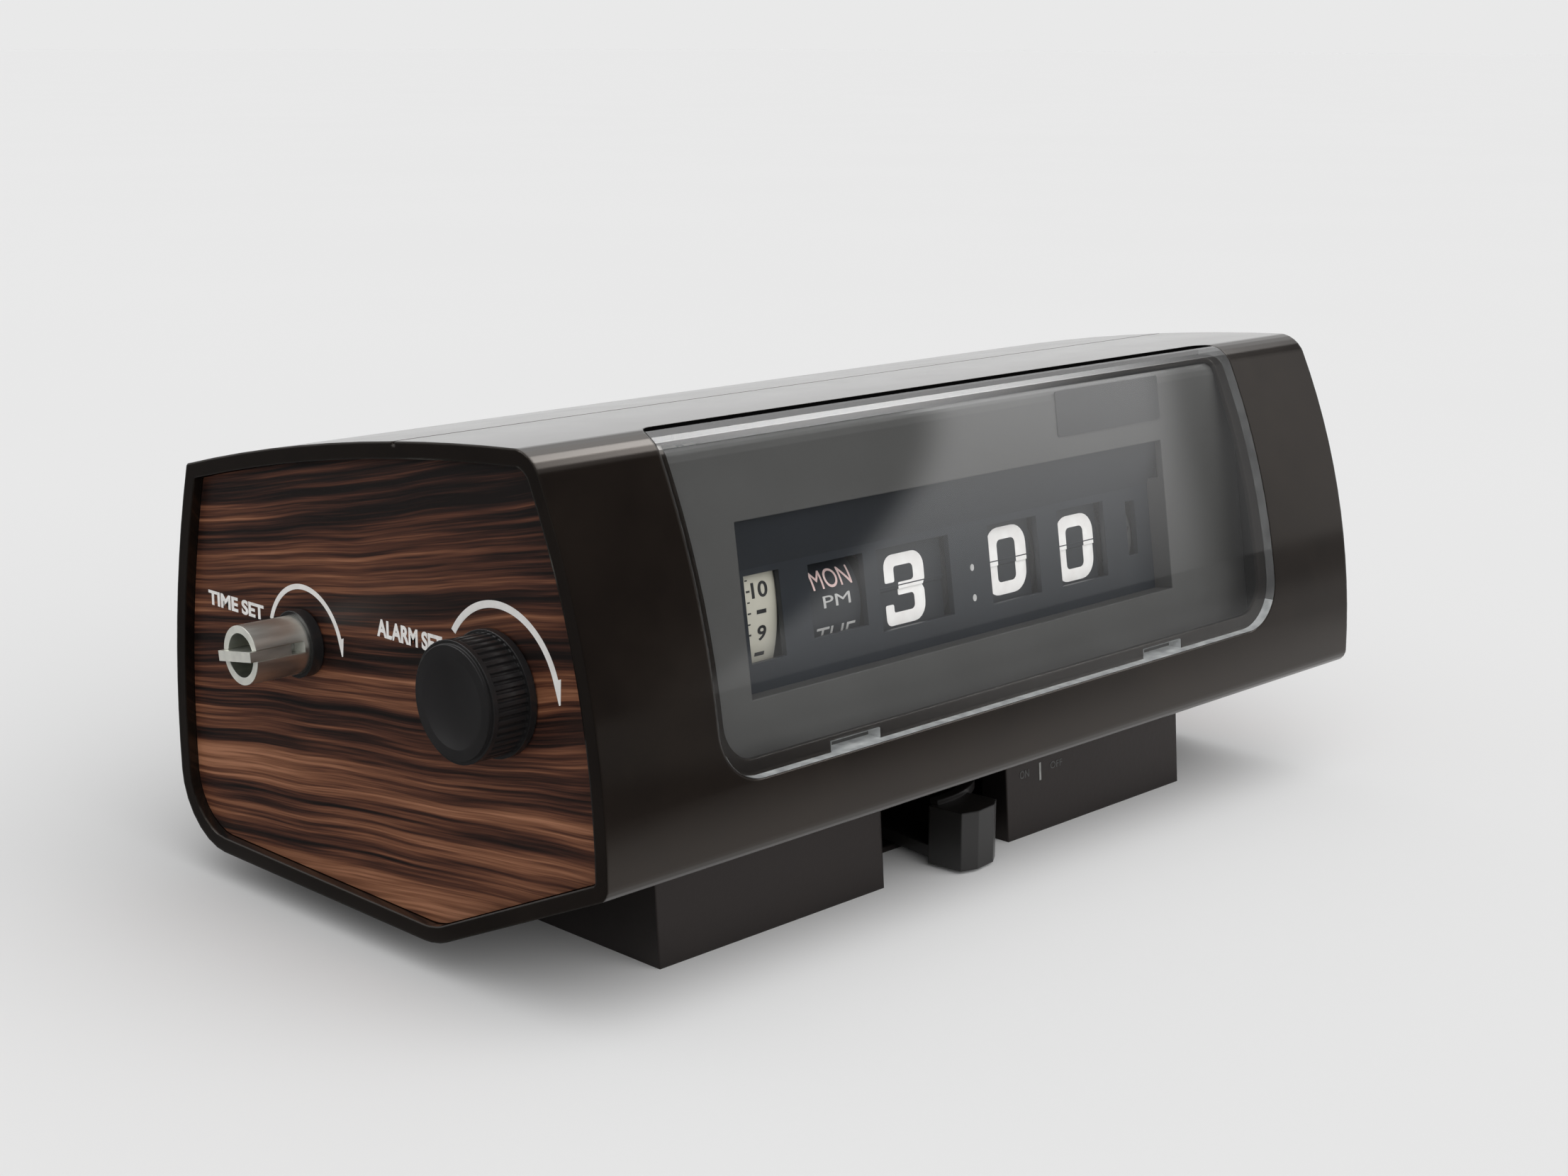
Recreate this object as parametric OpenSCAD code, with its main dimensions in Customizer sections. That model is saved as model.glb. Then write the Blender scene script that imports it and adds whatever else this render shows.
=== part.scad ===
// Table flip clock: a long sleeve case on a base block, with a leaf display behind a wrap-over lens.
// X runs along the case, the display faces -Y, Z is up. The origin is the middle of the base, on the table.

/* [Case] */
// Length of the case
case_len = 220; // [212:1:236]
// Depth of the case
case_depth = 130; // [126:1:138]
// Height of the top face
case_top = 99.5; // [98:0.5:104]
// Height of the flat underside
case_bottom = 6.5; // [5.5:0.5:8]
// How far the case stands out ahead of the base
front_overhang = 22.4; // [20:0.2:25]
// Wall thickness of the case
wall = 3; // [2.7:0.1:3.3]
// Radius of the front face
front_r = 150; // [144:1:165]
// Radius of the top face
top_r = 520; // [460:10:700]
// Radius of the back face
back_r = 190; // [175:5:240]
// Radius of the top front edge
brow_r = 7; // [5:0.5:9]
// Radius of the lower back edge
heel_r = 15; // [12:1:18]
// Slope of the chin below the front
chin_angle = 24; // [22:0.5:26]
// Height of the front lower edge
nose_z = 27.3; // [26:0.1:29]
// Depth of the end panels below the rim
panel_in = 2; // [1.5:0.5:3]
// Thickness of the end panels
panel_t = 3; // [2.5:0.5:4]

/* [Lens and fascia] */
// Width of the lens
lens_w = 165.6; // [160:0.2:172]
// Sideways place of the lens
lens_x = -1; // [-3:0.5:2]
// Thickness of the lens
lens_t = 2; // [1.8:0.1:2.2]
// Height of the lower lens edge
lens_low = 40; // [37:0.5:43]
// How far the lens reaches back over the top
lens_wrap = 22.9; // [21:0.1:25]
// Distance from the fascia to the leaf plane
fascia_ahead = 6.7; // [6.2:0.1:7.4]
// Thickness of the fascia
fascia_t = 1.5; // [1.2:0.1:1.8]
// Left edge of the fascia opening
open_left = -66.2; // [-70:0.2:-64]
// Right edge of the fascia opening
open_right = 58.2; // [58:0.2:62]
// Height of the opening above the leaf split
open_up = 19.4; // [17:0.2:21]
// Depth of the opening below the leaf split
open_down = 12.1; // [11:0.1:14]

/* [Display] */
// Height of the split between upper and lower leaves
display_z = 61; // [59:0.5:63]
// Leaf plane behind the case front
display_in = 19.8; // [18.8:0.1:21]
// Backward lean of the display
lean = 8.5; // [7.5:0.1:9.5]
// Radius of the circle of leaf pins
pin_r = 11.2; // [11:0.1:11.8]
// Height of a leaf above the split
leaf_h = 8.2; // [7.8:0.02:8.8]
// Thickness of a leaf
leaf_t = 0.24; // [0.18:0.01:0.28]
// Middle of the hour window
hour_x = -16.4; // [-17:0.1:-15]
// Width of the hour window
hour_w = 20.4; // [18.4:0.2:21.4]
// Middle of the tens window
tens_x = 13.1; // [12.5:0.1:14]
// Middle of the units window
units_x = 35; // [34.4:0.1:36]
// Width of the minute windows
minute_w = 15.2; // [14:0.2:16]
// Middle of the day window
day_x = -37.7; // [-38.5:0.1:-37]
// Width of the day window
day_w = 14.6; // [13.6:0.2:15]
// Middle of the alarm window
alarm_x = -56.8; // [-57.2:0.1:-56.4]
// Width of the alarm window
alarm_w = 8.8; // [8.4:0.2:9.2]
// Middle of the running slot
slot_x = 51.7; // [51.4:0.1:52.4]
// Width of the running slot
slot_w = 3.2; // [2.6:0.2:3.6]
// Number of hour leaves
hour_n = 48; // [48:48]
// Number of tens leaves
tens_n = 36; // [36:36]
// Number of units leaves
units_n = 40; // [40:40]

/* [Controls] */
// Diameter of the alarm knob
knob_d = 21.2; // [19:0.2:23]
// Length of the alarm knob
knob_len = 9.2; // [8:0.2:11]
// Flutes round the alarm knob
knob_flutes = 44; // [32:2:52]
// Alarm axis behind the leaf plane
alarm_u = 10.94; // [10.6:0.02:11.2]
// Alarm axis below the split
alarm_down = 3.52; // [3.3:0.02:3.8]
// Outer diameter of the setting sleeve
sleeve_d = 11; // [10:0.2:12]
// Length of the setting sleeve
sleeve_len = 11.3; // [10:0.1:13]
// Radius of the alarm hour drum
dial_r = 30.6; // [30.1:0.1:30.7]
// Width of the slot across the sleeve
sleeve_slot = 2; // [1.6:0.1:2.4]

/* [Base] */
// Length of the base
base_len = 157.4; // [150:0.2:170]
// Depth of the base
base_depth = 78; // [74:1:84]
// Lean of the base front
base_lean = 4.3; // [3:0.1:6]
// Width of the cut-out for the lever
cut_w = 38.4; // [36:0.2:42]
// Rest angle of the lever
lever_rest = 5.4; // [3:0.1:7]
// Reach of the lever tab
lever_reach = 32.2; // [31:0.1:33.5]
// Width of the lever tab
lever_w = 12; // [10:0.5:13]

/* [Movement] */
// Module of the wheel teeth
tooth_m = 0.6; // [0.58:0.01:0.62]
// Teeth of the units wheel
units_teeth = 36; // [36:36]
// Teeth of the motor pinion
pinion_teeth = 12; // [12:12]
// Teeth of the idler
idler_teeth = 50; // [50:50]
// Teeth of the setting wheel
setting_teeth = 51; // [51:51]
// Direction from the main arbor to the setting shaft
train_angle = 3.25; // [2:0.25:5]
// Teeth of the alarm pinion
dial_pinion = 18; // [18:18]
// Teeth inside the alarm drum
dial_ring = 87; // [87:87]
// Direction from the alarm shaft to the drum stud
dial_angle = 23.3; // [22:0.1:24.5]
// Thickness of the wheels
wheel_t = 1.6; // [1.2:0.1:1.8]
// Thickness of the movement plates
plate_t = 1.2; // [1:0.1:1.6]
// Diameter of the main arbor
arbor_d = 3; // [2.6:0.1:3.2]
// Diameter of the motor can
motor_d = 34; // [30:1:38]
// Length of the motor can
motor_len = 22; // [18:1:26]

/* [Hidden] */
$fa = 3;
$fs = 0.3;
run_gap = 0.05;
end_gap = 0.2;
seat_gap = 0.15;

// Case section
case_front = -base_depth / 2 - front_overhang;
case_back = case_front + case_depth;
front_c = [case_front + front_r, 29];
top_c = [case_front - 6.6, case_top - top_r];
back_c = [case_back - back_r, 28];
nose = [case_front, nose_z];
chin_dir = [cos(chin_angle), -sin(chin_angle)];
chin_in = [sin(chin_angle), cos(chin_angle)];
lip_r = 3.4;
knee_r = 20;
ridge_r = 1.6;
ledge_w = 2;
ledge_t = 2;
end_x = case_len / 2;
panel_x = end_x - panel_in;
ledge_x = panel_x - panel_t;

// Lens seat, fascia and the ribs behind it
lens_l = lens_x - lens_w / 2;
lens_r = lens_x + lens_w / 2;
lens_lip = 3;
lens_y = case_front + lens_wrap;
rib_t = 2.5;
rib_d = 9;
rib_out = 3.5;
fascia_out = 3;
fascia_bite = 0.3;
lug_at = [-49, 43];
lug_w = 12.7;
lug_h = 1.9;
lug_deep = 3;
chord_out = 0.06;

// Mask, windows and leaves
leaf_y = case_front + display_in;
mask_front = -2.2;
mask_back = -1;
win_up = leaf_h + 0.36;
win_down = 2 * pin_up(max(hour_n, tens_n, units_n)) - leaf_h - 0.3;
disc_r = pin_r + 0.6;
disc_t = 1;
disc_gap = 0.4;
barrel_r = 8;
boss_r = 4;
leaf_shift = 0.45;
low_shift = 0.3;
split_gap = 0.07;

// Stations along the main arbor and the alarm drum
arbor_r = arbor_d / 2;
alarm_at = [alarm_u, -alarm_down];
dial_at = alarm_at + tooth_m * (dial_ring - dial_pinion) / 2 * [cos(dial_angle), sin(dial_angle)];
dial_l = alarm_x - alarm_w / 2 + disc_gap;
dial_lap = 0.3;
dial_right = alarm_x + alarm_w / 2 + dial_lap;
hour_l = hour_x - hour_w / 2;
hour_r = hour_x + hour_w / 2;
tens_l = tens_x - minute_w / 2;
tens_r = tens_x + minute_w / 2;
units_l = units_x - minute_w / 2;
units_r = units_x + minute_w / 2;
day_l = day_x - day_w / 2;
day_r = day_x + day_w / 2;
plate_l = day_l - 3.4;
plate_r = slot_x + slot_w / 2 + 2.3;
stack_1 = (day_r + hour_l) / 2;
stack_2 = (hour_r + tens_l) / 2;
stack_3 = (tens_r + units_l) / 2;
wheel_x = units_r + disc_gap + disc_t + 0.4;
day_drum_r = pin_r + 1;
run_drum_r = pin_r + 0.4;
dial_up = 9;
dial_down = -6.8;
day_up = 8.6;
day_down = -5;
slot_up = 7.4;
slot_down = -4;

// Axes of the wheel train, pawls, tie rods and buzzer
units_pr = tooth_m * units_teeth / 2;
pinion_pr = tooth_m * pinion_teeth / 2;
idler_pr = tooth_m * idler_teeth / 2;
setting_pr = tooth_m * setting_teeth / 2;
main_at = [pin_r, 0];
idler_at = main_at + (units_pr + idler_pr) * [cos(train_angle), sin(train_angle)];
setting_at = idler_at + (idler_pr + setting_pr) * [cos(train_angle), sin(train_angle)];
pinion_angle = train_angle - 5.5 * 360 / units_teeth;
pinion_at = main_at + (units_pr + pinion_pr) * [cos(pinion_angle), sin(pinion_angle)];
pawl_back = 6;
pawl_drop = 22.5;
pawl_at = main_at + [pawl_back, -pawl_drop];
rod_at = [[34, 21], [34, -20.5], [72, -17]];
buzzer_at = [54, -15.5];
coil_r = 6;
coil_l = 12;
coil_core_r = 4;
coil_core_out = 1.5;
coil_foot_t = 2;
coil_foot_w = 14;
shaft_r = 2;
pawl_r = 1.25;
rod_r = 1.5;
rod_body_r = 2.2;
idler_r = 1.5;
motor_shaft_r = 1;
pinion_hole_r = 3;
ratchet_gap = 0.6;

// Base, lever, controls and fasteners
pivot_y = -base_depth / 2 + 25;
cut_deep = 14;
rim_room = 1.7;
lever_hub_h = 4.2;
tab_low = 0.8;
tab_h = 12.2;
tab_chamfer = 1.6;
knob_gap = 0.3;
knob_bore = 3;
dish_r = 40;
dish_deep = 0.8;
screw_r = 1.5;
screw_head_r = 3;
screw_head_h = 2.2;
screw_seat = 3.2;
head_gap = 0.2;
gland_r = 5.5;
gland_bore_r = 3;
rim_out = 24.3;
rim_in = 22;
rim_top = 14;
band_h = 1.9;
band_out = 0.9;
rim_a = [-6, 34];
collar_t = 2.3;
collar_gap = 0.3;
floor_t = 1.2;
base_top = (nose_z - tan(chin_angle) * front_overhang) / (1 + tan(chin_angle) * tan(base_lean));
screw_at = [[-60, 2], [60, 2], [-60, 28], [60, 28]];
gland_x = 60;

function unit(a) = [cos(a), sin(a)];
function turn(v) = [-v[1], v[0]];
function bearing(v) = atan2(v[1], v[0]) < 0 ? atan2(v[1], v[0]) + 360 : atan2(v[1], v[0]);
function along_line(c1, r1, d) = (r1[0] * r1[0] - r1[1] * r1[1] + d * d) / (2 * d);
function meet(c1, r1, c2, r2) =
  let (d = norm(c2 - c1), e = (c2 - c1) / d, a = along_line(c1, [r1, r2], d))
  c1 + a * e - sqrt(r1 * r1 - a * a) * turn(e);
function soft(r, t) = max(r - t, 1.2);

// Centres of the five edge roundings, for a section set in by t
function brow_c(t) = let (r = soft(brow_r, t)) meet(front_c, front_r - t - r, top_c, top_r - t - r);
function ridge_c(t) = let (r = soft(ridge_r, t)) meet(top_c, top_r - t - r, back_c, back_r - t - r);
function heel_c(t) =
  let (r = soft(heel_r, t), z = case_bottom + t + r, k = back_r - t - r, h = z - back_c[1])
  [back_c[0] + sqrt(k * k - h * h), z];
function knee_c(t) =
  let (r = soft(knee_r, t), q = nose + (t + r) * chin_in, z = case_bottom + t + r)
  q + (z - q[1]) / chin_dir[1] * chin_dir;
function lip_c(t) =
  let (r = soft(lip_r, t), q = nose + (t + r) * chin_in, k = front_r - t - r)
  let (v = q - front_c, b = v * chin_dir)
  q + (-b - sqrt(b * b - v * v + k * k)) * chin_dir;

// One rounding as chords, with the end chords run out past the faces they cut
function chords(c, r, a0, a1, n, run) =
  let (p = [for (i = [0 : n]) c + (r + chord_out) * unit(a0 + (a1 - a0) * i / n)])
  concat(
    [p[0] + run * (p[0] - p[1]) / norm(p[0] - p[1])],
    p,
    [p[n] + run * (p[n] - p[n - 1]) / norm(p[n] - p[n - 1])]
  );
function trim(t) =
  let (lc = lip_c(t), kc = knee_c(t), hc = heel_c(t), rc = ridge_c(t), bc = brow_c(t))
  concat(
    chords(lc, soft(lip_r, t), bearing(lc - front_c), 270 - chin_angle, 4, 12),
    chords(kc, soft(knee_r, t), 270 - chin_angle, 270, 3, 12),
    chords(hc, soft(heel_r, t), 270, bearing(hc - back_c) > 180 ? bearing(hc - back_c) : 360, 7, 12),
    chords(rc, soft(ridge_r, t), bearing(rc - back_c), bearing(rc - top_c), 3, 12),
    chords(bc, soft(brow_r, t), bearing(bc - top_c), bearing(bc - front_c), 6, 12)
  );

// Cross-section of the case, set in by t from its outer face
module section(t) {
  intersection() {
    translate(front_c)
      circle(r = front_r - t, $fn = 720);
    translate(top_c)
      circle(r = top_r - t, $fn = 720);
    translate(back_c)
      circle(r = back_r - t, $fn = 720);
    translate([case_front - 50, case_bottom + t])
      square([case_depth + 100, case_top + 50]);
    translate(nose)
      rotate(-chin_angle)
        translate([-100, t])
          square([case_depth + 250, case_top + 150]);
    polygon(trim(t));
  }
}

module along(x0, x1) {
  translate([x0, 0, 0])
    rotate([90, 0, 90])
      linear_extrude(height = x1 - x0)
        children();
}

module slab(t, x0, x1) {
  along(x0, x1)
    section(t);
}

// Frame of the leaning display: X along the case, Y back from the leaf plane, Z up from the split
module leaning() {
  translate([0, leaf_y, display_z])
    rotate([-lean, 0, 0])
      children();
}

// Round bar along X at a point of the leaning frame
module bar(at, r, x0, x1) {
  translate([x0, at[0], at[1]])
    rotate([0, 90, 0])
      cylinder(r = r, h = x1 - x0);
}

// Flat shape of the leaning frame, stretched along X
module flat(at, x0, x1, a = 0) {
  translate([x0, at[0], at[1]])
    rotate([90, 0, 90])
      rotate(a)
        linear_extrude(height = x1 - x0)
          children();
}

// Outline that the lens fills, grown by g
module lens_area(g) {
  r = lens_corner_low + g;
  q = lens_corner_top + g;
  intersection() {
    rotate([90, 0, 0])
      linear_extrude(height = 400, center = true)
        union() {
          translate([lens_l - g, lens_low - g + r])
            square([lens_w + 2 * g, 150]);
          translate([lens_l - g + r, lens_low - g])
            square([lens_w + 2 * g - 2 * r, 100]);
          translate([lens_l - g + r, lens_low - g + r])
            circle(r = r);
          translate([lens_r + g - r, lens_low - g + r])
            circle(r = r);
        }
    linear_extrude(height = 300)
      union() {
        translate([lens_l - g, lens_y + g - q - 150])
          square([lens_w + 2 * g, 150]);
        translate([lens_l - g + q, lens_y + g - 100])
          square([lens_w + 2 * g - 2 * q, 100]);
        translate([lens_l - g + q, lens_y + g - q])
          circle(r = q);
        translate([lens_r + g - q, lens_y + g - q])
          circle(r = q);
      }
  }
}
lens_corner_low = 10;
lens_corner_top = 5;

// Toothed wheel outline, with a tooth on its first axis
function inv(a) = tan(a) * 180 / PI - a;
function half_tooth(r, n) =
  let (p = tooth_m * n / 2, b = p * cos(25))
  90 / n - 0.05 / p * 180 / PI + inv(25) - inv(acos(min(1, b / r)));
function tooth_side(n) =
  let (p = tooth_m * n / 2, b = p * cos(25), s = max(b, p - 1.05 * tooth_m), e = p + 0.8 * tooth_m)
  concat(
    [[p - 1.05 * tooth_m, half_tooth(s, n)]],
    [for (k = [0 : 3]) let (r = s + (e - s) * k / 3) [r, half_tooth(r, n)]]
  );
function wheel_points(n) =
  let (q = tooth_side(n))
  [for (i = [0 : n - 1], k = [0 : 9])
    let (v = k < 5 ? [q[k][0], -q[k][1]] : q[9 - k])
    v[0] * unit(360 * i / n + v[1])];

// Sawtooth rim with n steps
function ratchet_points(n) =
  [for (i = [0 : n - 1], k = [0 : 1])
    (k == 0 ? disc_r : disc_r - 0.9) * unit(360 * (i + 0.12 * k) / n)];

// Place of leaf pin j of n, seen from the side
function pin_at(j, n) =
  let (a = 360 * (j + 0.5) / n)
  [pin_r - pin_r * cos(a), pin_r * sin(a)];
function pin_up(n) = pin_r * sin(180 / n);

// Spool that carries one set of leaves, with a sawtooth rim on its left disc
module leaf_hub(l, r, x0, x1, n) {
  color("dimgray")
    leaning()
      difference() {
        union() {
          bar(main_at, boss_r, x0 + end_gap / 2, x1 - end_gap / 2);
          bar(main_at, barrel_r, l - disc_t, r + disc_t);
          flat(main_at, l - disc_t, l)
            polygon(ratchet_points(n));
          bar(main_at, disc_r, r, r + disc_t);
        }
        bar(main_at, arbor_r + run_gap, x0 - 1, x1 + 1);
      }
}

// Fan of resting leaves, from the one behind the falling leaf round to the shown lower one
module leaf_pack(l, r, n) {
  color("#1c1e22")
    leaning()
      union() {
        for (j = [1 : n - 2])
          translate([0, pin_at(j, n)[0] + leaf_shift, pin_at(j, n)[1]])
            rotate([-180 * j / (n - 1), 0, 0])
              translate([l + disc_gap, -leaf_t / 2, 0])
                cube([r - l - 2 * disc_gap, leaf_t, leaf_h - pin_up(n)]);
        translate([l + disc_gap, pin_at(0, n)[0] + low_shift - leaf_t / 2, -leaf_h])
          cube([r - l - 2 * disc_gap, leaf_t, leaf_h - split_gap]);
      }
}

// Upper leaf that falls forward, with its two pins
module flip_leaf(l, r, n) {
  color("#24262b")
    leaning()
      union() {
        translate([l + disc_gap, pin_at(0, n)[0] - leaf_t / 2, split_gap])
          cube([r - l - 2 * disc_gap, leaf_t, leaf_h - split_gap]);
        bar(pin_at(0, n), 0.2, l + 0.1, r - 0.1);
      }
}

module case_shell() {
  color("#241a17")
    union() {
      difference() {
        slab(0, -end_x, end_x);
        slab(wall + ledge_w, -end_x - 1, end_x + 1);
        slab(wall, -end_x - 1, -ledge_x);
        slab(wall, -ledge_x + ledge_t, ledge_x - ledge_t);
        slab(wall, ledge_x, end_x + 1);
        difference() {
          lens_area(0);
          slab(lens_t + run_gap, -end_x, end_x);
        }
        lens_area(-lens_lip);
        lens_lugs(seat_gap);
        for (p = screw_at)
          translate([p[0], p[1], case_bottom - 1])
            cylinder(r = screw_r, h = wall + 2);
        translate([gland_x, case_back - wall - 2, back_c[1]])
          rotate([-90, 0, 0])
            cylinder(r = gland_r, h = wall + 4);
        translate([-end_x - 1, seam_y - seam_w / 2, seam_top - seam_deep])
          cube([case_len + 2, seam_w, 2]);
      }
      for (x = [lens_l - rib_out, lens_r + rib_out - rib_t])
        intersection() {
          slab(wall - 0.5, x, x + rib_t);
          leaning()
            translate([x - 1, -fascia_ahead + fascia_t, -case_top])
              cube([rib_t + 2, rib_d, 2 * case_top]);
        }
    }
}
seam_y = case_front + 54.4;
seam_w = 0.8;
seam_deep = 0.7;
seam_top = top_c[1] + sqrt(top_r * top_r - (seam_y - top_c[0]) * (seam_y - top_c[0]));

module end_panel(x0, x1) {
  slab(wall + seat_gap, x0, x1);
}

module left_end_panel() {
  color("#3a241b")
    difference() {
      end_panel(-panel_x, -ledge_x);
      leaning()
        bar(alarm_at, shaft_r + run_gap, -end_x, -ledge_x + 1);
      leaning()
        bar(setting_at, shaft_r + run_gap, -end_x, -ledge_x + 1);
    }
}

module right_end_panel() {
  color("#3a241b")
    end_panel(ledge_x, panel_x);
}

// Two lugs behind the lower lens edge that snap into notches of the case, grown by g
module lens_lugs(g) {
  for (x = lug_at)
    intersection() {
      difference() {
        slab(lens_t - 0.3, x - lug_w / 2 - g, x + lug_w / 2 + g);
        slab(lens_t + lug_deep + g, x - lug_w, x + lug_w);
      }
      translate([x - lug_w, case_front - 1, lens_low + seat_gap - g])
        cube([2 * lug_w, display_in, lug_h + 2 * g]);
    }
}

module lens() {
  color("#b8c4c8", 0.35)
    union() {
      intersection() {
        difference() {
          slab(0, lens_l, lens_r);
          slab(lens_t, lens_l - 1, lens_r + 1);
        }
        lens_area(-seat_gap);
      }
      lens_lugs(0);
    }
}

module fascia() {
  color("#3a3c3f")
    union() {
      difference() {
        intersection() {
          leaning()
            translate([lens_l - fascia_out, -fascia_ahead, -case_top])
              cube([lens_w + 2 * fascia_out, fascia_t, 2 * case_top]);
          slab(wall + seat_gap, lens_l - rib_out, lens_r + rib_out);
        }
        leaning()
          translate([open_left, -fascia_ahead - 1, -open_down])
            cube([open_right - open_left, fascia_t + 2, open_up + open_down]);
      }
      leaning() {
        flat([0, 0], open_left - hood_t, open_right + hood_t)
          polygon([
            [hood_front - fascia_bite, open_up],
            [hood_front, open_up],
            [mask_front, hood_up],
            [mask_front, hood_up + hood_t],
            [hood_front, open_up + hood_t],
            [hood_front - fascia_bite, open_up + hood_t]
          ]);
        for (x = [open_left - hood_t, open_right])
          translate([x, hood_front - fascia_bite, -open_down - hood_t])
            cube([hood_t, mask_front - hood_front + fascia_bite, hood_up + open_down + 2 * hood_t]);
        translate([open_left - hood_t, hood_front - fascia_bite, -open_down - hood_t])
          cube([open_right - open_left + 2 * hood_t, mask_front - hood_front + fascia_bite, hood_t]);
      }
    }
}
hood_t = 1.2;
hood_up = win_up + 1.6;
hood_front = fascia_t - fascia_ahead;

module window(l, r, low, high) {
  translate([l, mask_front - 1, low])
    cube([r - l, mask_back - mask_front + 2, high - low]);
}

module display_mask() {
  color("#15181d")
    leaning()
      difference() {
        translate([open_left - 3.5, mask_front, -open_down - 3.5])
          cube([open_right - open_left + 7, mask_back - mask_front, open_down + hood_up + 6.5]);
        window(alarm_x - alarm_w / 2, alarm_x + alarm_w / 2, dial_down, dial_up);
        window(day_l, day_r, day_down, day_up);
        window(hour_l, hour_r, win_down, win_up);
        window(tens_l, tens_r, win_down, win_up);
        window(units_l, units_r, win_down, win_up);
        window(slot_x - slot_w / 2, slot_x + slot_w / 2, slot_down, slot_up);
      }
}

module base_block() {
  color("#1b1816")
    difference() {
      along(-base_len / 2, base_len / 2)
        polygon([
          [-base_depth / 2, 0],
          [base_depth / 2, 0],
          [base_depth / 2 - 0.5, case_bottom],
          [case_front + (nose_z - case_bottom) / tan(chin_angle), case_bottom],
          [-base_depth / 2 + base_top * tan(base_lean), base_top]
        ]);
      translate([-cut_w / 2, -base_depth, -1])
        cube([cut_w, base_depth / 2 + cut_deep, 40]);
      translate([0, pivot_y, floor_t])
        cylinder(r = rim_out + rim_room, h = 40);
      for (p = screw_at)
        translate([p[0], p[1], -1]) {
          cylinder(r = screw_head_r + head_gap, h = screw_seat + 1);
          cylinder(r = screw_r, h = 20);
        }
    }
}

module base_screws() {
  color("silver")
    for (p = screw_at)
      translate([p[0], p[1], 0])
        difference() {
          union() {
            translate([0, 0, screw_seat - screw_head_h])
              cylinder(r = screw_head_r, h = screw_head_h);
            translate([0, 0, screw_seat - head_gap])
              cylinder(r = screw_r - run_gap, h = case_bottom + wall - screw_seat + head_gap);
          }
          for (a = [0, 90])
            rotate(a)
              translate([-2.2, -0.4, screw_seat - screw_head_h - 0.5])
                cube([4.4, 0.8, 1.4]);
        }
}

// Wedge seen from above, from the lever pivot towards the front
module wedge(a0, a1, r) {
  polygon([[0, 0], r * unit(a0 - 90), r * 1.2 * unit((a0 + a1) / 2 - 90), r * unit(a1 - 90)]);
}

module alarm_lever() {
  color("#141312")
    translate([0, pivot_y, 0])
      difference() {
        union() {
          translate([0, 0, floor_t + end_gap])
            cylinder(r = 5, h = lever_hub_h);
          intersection() {
            translate([0, 0, floor_t + end_gap])
              cylinder(r = rim_out - band_out, h = 2.6);
            linear_extrude(height = 40)
              wedge(rim_a[0], rim_a[1], 60);
          }
          intersection() {
            difference() {
              union() {
                translate([0, 0, floor_t + end_gap])
                  cylinder(r = rim_out - band_out, h = rim_top - floor_t - end_gap);
                translate([0, 0, rim_top - band_h])
                  cylinder(r = rim_out, h = band_h);
              }
              translate([0, 0, floor_t - 1])
                cylinder(r = rim_in, h = rim_top + 2);
            }
            linear_extrude(height = 40)
              wedge(rim_a[0], rim_a[1], 60);
          }
          rotate(lever_rest)
            translate([0, 0, tab_low])
              linear_extrude(height = tab_h)
                polygon([
                  [-lever_w / 2, -rim_in - 0.5],
                  [-lever_w / 2, -lever_reach + tab_chamfer],
                  [-lever_w / 5, -lever_reach],
                  [lever_w / 4, -lever_reach],
                  [lever_w / 2, -lever_reach + tab_chamfer],
                  [lever_w / 2, -rim_in - 0.5]
                ]);
        }
        cylinder(r = shaft_r + run_gap, h = 30);
      }
}

module lever_pin() {
  color("silver")
    translate([0, pivot_y, floor_t])
      cylinder(r = shaft_r, h = lever_hub_h + end_gap + 0.5);
}

plate_shape = [
  [mask_back, -14], [4, -20], [20, -26.5], [76, -24], [78, -20], [78, 14], [62, 24.5], [30, 24.5], [4, 19],
  [mask_back, 13]
];

module plate_outline() {
  difference() {
    polygon(plate_shape);
    translate(main_at)
      circle(r = arbor_r + run_gap);
    translate(setting_at)
      circle(r = shaft_r + run_gap);
    translate(pawl_at)
      circle(r = pawl_r + run_gap);
    for (p = rod_at)
      translate(p)
        circle(r = rod_r);
    translate([43, 17.4])
      square([14, 4]);
    translate([26, -14])
      square([12, 3]);
  }
}

module left_plate() {
  color("#9a9a94")
    leaning()
      flat([0, 0], plate_l - plate_t, plate_l)
        plate_outline();
}

module right_plate() {
  color("#9a9a94")
    leaning()
      flat([0, 0], plate_r, plate_r + plate_t)
        difference() {
          plate_outline();
          translate(pinion_at)
            circle(r = pinion_hole_r);
          translate(idler_at)
            circle(r = idler_r + run_gap);
        }
}

module tie_rods() {
  color("#b9b3a2")
    leaning()
      for (p = rod_at) {
        bar(p, rod_body_r, plate_l, plate_r);
        bar(p, rod_r - run_gap, plate_l - plate_t - 1, plate_r + plate_t + 1);
      }
}

module main_arbor() {
  color("silver")
    leaning()
      bar(main_at, arbor_r, plate_l - plate_t, plate_r + plate_t);
}

module day_drum() {
  color("#1b1d21")
    leaning()
      difference() {
        union() {
          bar(main_at, boss_r, plate_l + end_gap, stack_1 - end_gap / 2);
          bar(main_at, day_drum_r, day_l + disc_gap, day_r - disc_gap);
          flat(main_at, day_l - ratchet_gap - disc_t, day_l - ratchet_gap)
            polygon(ratchet_points(28));
        }
        bar(main_at, arbor_r + run_gap, plate_l - 1, stack_1 + 1);
      }
}

module hour_hub() {
  leaf_hub(hour_l, hour_r, stack_1, stack_2, hour_n);
}

module hour_leaves() {
  leaf_pack(hour_l, hour_r, hour_n);
}

module hour_flip_leaf() {
  flip_leaf(hour_l, hour_r, hour_n);
}

module tens_hub() {
  leaf_hub(tens_l, tens_r, stack_2, stack_3, tens_n);
}

module tens_leaves() {
  leaf_pack(tens_l, tens_r, tens_n);
}

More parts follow.
